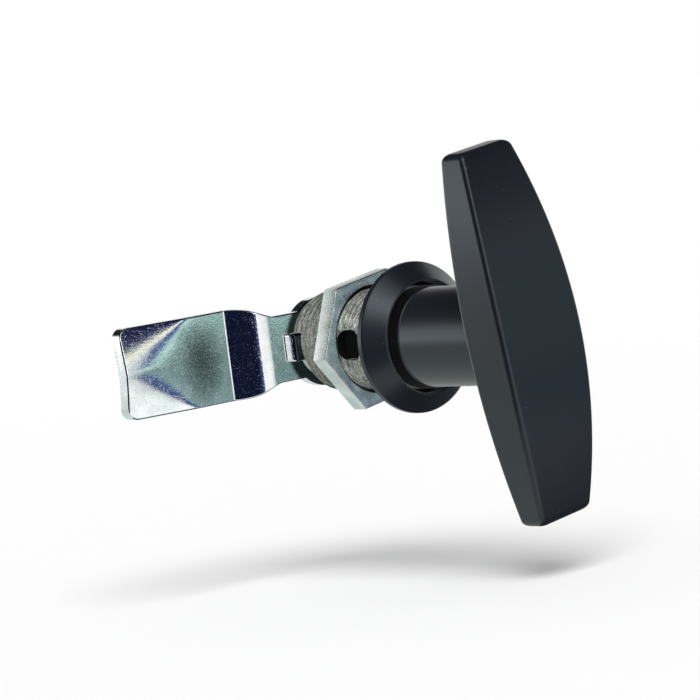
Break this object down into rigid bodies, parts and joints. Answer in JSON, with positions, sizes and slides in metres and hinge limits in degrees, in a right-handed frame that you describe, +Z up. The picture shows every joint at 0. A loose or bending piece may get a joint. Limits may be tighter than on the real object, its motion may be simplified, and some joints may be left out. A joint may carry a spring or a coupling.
{
  "type": "quarter-turn latch",
  "caption": "T-handle quarter-turn latch: crowned grip on a stem, conical flange, threaded shank with panel nut, and a cranked cam that swings behind a frame.",
  "frame": {"origin": "on the turning axis, in the plane where the flange seats on the panel", "axes": "+Y inward along the turning axis, from handle to cam; +Z up; the cam lies along -X at rest"},
  "size_m": [0.0656, 0.08, 0.0806],
  "materials": {
    "handle_black": "satin black powder coat on zinc casting",
    "housing_zinc": "zinc casting, flange powder coated black, thread bare",
    "plated_steel": "bright zinc plate",
    "spindle_steel": "turned steel",
    "seal_rubber": "matte rubber",
    "washer_plastic": "moulded plastic"
  },
  "bodies": {
    "housing": {"housing": "housing_zinc", "thrust_washer": "washer_plastic", "hex_nut": "plated_steel"},
    "rotor": {"t_handle": "handle_black", "stem_seal": "seal_rubber", "spindle": "spindle_steel", "cross_pin": "plated_steel", "disc_spring": "spindle_steel", "cam": "plated_steel", "flat_washer": "plated_steel", "lock_washer": "plated_steel", "cam_screw": "plated_steel"}
  },
  "joints": [
    {"name": "handle_turn", "type": "hinge", "parent": "housing", "child": "rotor", "pos_m": [0, 0, 0], "axis": [0, 1, 0], "range_deg": [-90, 0]}
  ]
}
